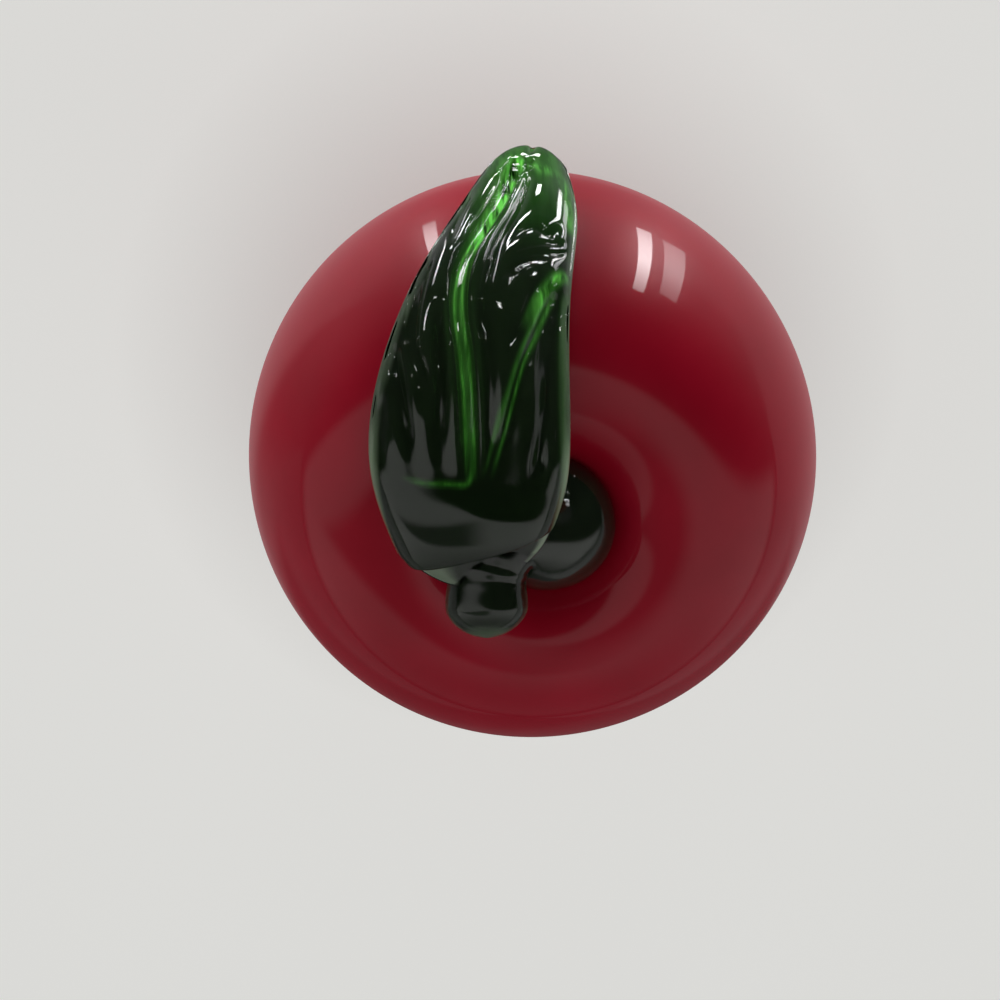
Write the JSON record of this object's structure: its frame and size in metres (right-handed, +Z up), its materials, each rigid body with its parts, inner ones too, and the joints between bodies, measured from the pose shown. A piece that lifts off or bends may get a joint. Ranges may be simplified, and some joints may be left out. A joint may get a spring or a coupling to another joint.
{
  "type": "glass apple ornament",
  "caption": "Hollow cased-glass apple with a ruby body, a dimpled top and a dark green stem carrying a ribbed leaf bent over the shoulder; stands on a ground flat foot.",
  "frame": {"origin": "centre of the ground flat foot, on the surface that it stands on", "axes": "+Z up along the core from foot to dimple; the leaf droops over the shoulder towards -Y"},
  "size_m": [0.1, 0.104, 0.1027],
  "materials": {
    "clear_glass": "fire-polished clear glass with a ground foot",
    "red_glass": "dense ruby glass",
    "stem_glass": "dark bottle-green glass",
    "leaf_glass": "dark green transparent glass, pressed with ribs"
  },
  "bodies": {
    "root": {"clear_casing": "clear_glass", "red_bubble": "red_glass", "stem": "stem_glass", "leaf": "leaf_glass"}
  },
  "joints": []
}
